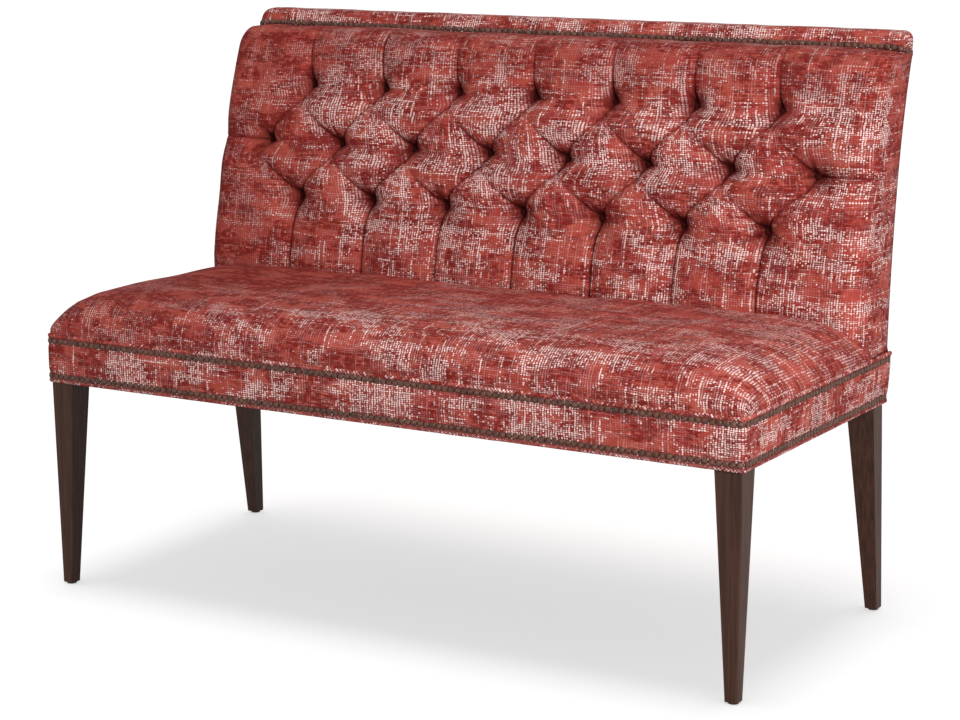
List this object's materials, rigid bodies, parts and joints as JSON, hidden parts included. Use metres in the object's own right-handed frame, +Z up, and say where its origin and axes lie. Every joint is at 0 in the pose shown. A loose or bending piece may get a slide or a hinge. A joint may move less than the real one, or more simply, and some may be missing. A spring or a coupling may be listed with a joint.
{
  "type": "upholstered banquette",
  "caption": "Straight armless banquette with a raked diamond-tufted back, a crowned tight seat, a nail-trimmed border band and tapered square wooden legs.",
  "frame": {"origin": "on the floor, at the middle of the outline in plan", "axes": "+Z up, the front faces -Y, +X to the right as seen from the front"},
  "size_m": [1.3348, 0.689, 0.976],
  "materials": {
    "upholstery": "slubby woven chenille, red with pale flecks",
    "leg_wood": "dark espresso stain, satin",
    "frame_wood": "planed, unfinished",
    "panel_ply": "bent plywood, unfinished",
    "board": "grey-brown upholsterer's board",
    "foam": "cut polyurethane foam",
    "burlap": "coarse jute cloth",
    "webbing": "jute webbing",
    "twine": "waxed twine",
    "dust_cloth": "black non-woven cloth",
    "nail_bronze": "antique bronze, low satin",
    "screw_steel": "zinc plated",
    "glide": "nylon"
  },
  "bodies": {
    "root": {"back_bottom_rail": "frame_wood", "back_foam": "foam", "back_nails": "nail_bronze", "back_pad": "upholstery", "back_panel": "panel_ply", "back_stile_left": "frame_wood", "back_stile_right": "frame_wood", "back_top_rail": "frame_wood", "corner_block_screws": "screw_steel", "corner_blocks": "frame_wood", "dust_cover": "dust_cloth", "foot_glides": "glide", "front_leg_left": "leg_wood", "front_leg_right": "leg_wood", "outside_back_board": "board", "outside_back_cover": "upholstery", "rear_leg_post_left": "leg_wood", "rear_leg_post_right": "leg_wood", "seat_border": "upholstery", "seat_brace": "frame_wood", "seat_burlap": "burlap", "seat_cover": "upholstery", "seat_foam": "foam", "seat_nails_lower": "nail_bronze", "seat_nails_upper": "nail_bronze", "seat_rail_front": "frame_wood", "seat_rail_left": "frame_wood", "seat_rail_rear": "frame_wood", "seat_rail_right": "frame_wood", "seat_webbing_cross": "webbing", "seat_webbing_long": "webbing", "tie_toggles": "frame_wood", "top_rail_cover": "upholstery", "tuft_buttons": "upholstery", "tuft_ties": "twine"}
  },
  "joints": []
}
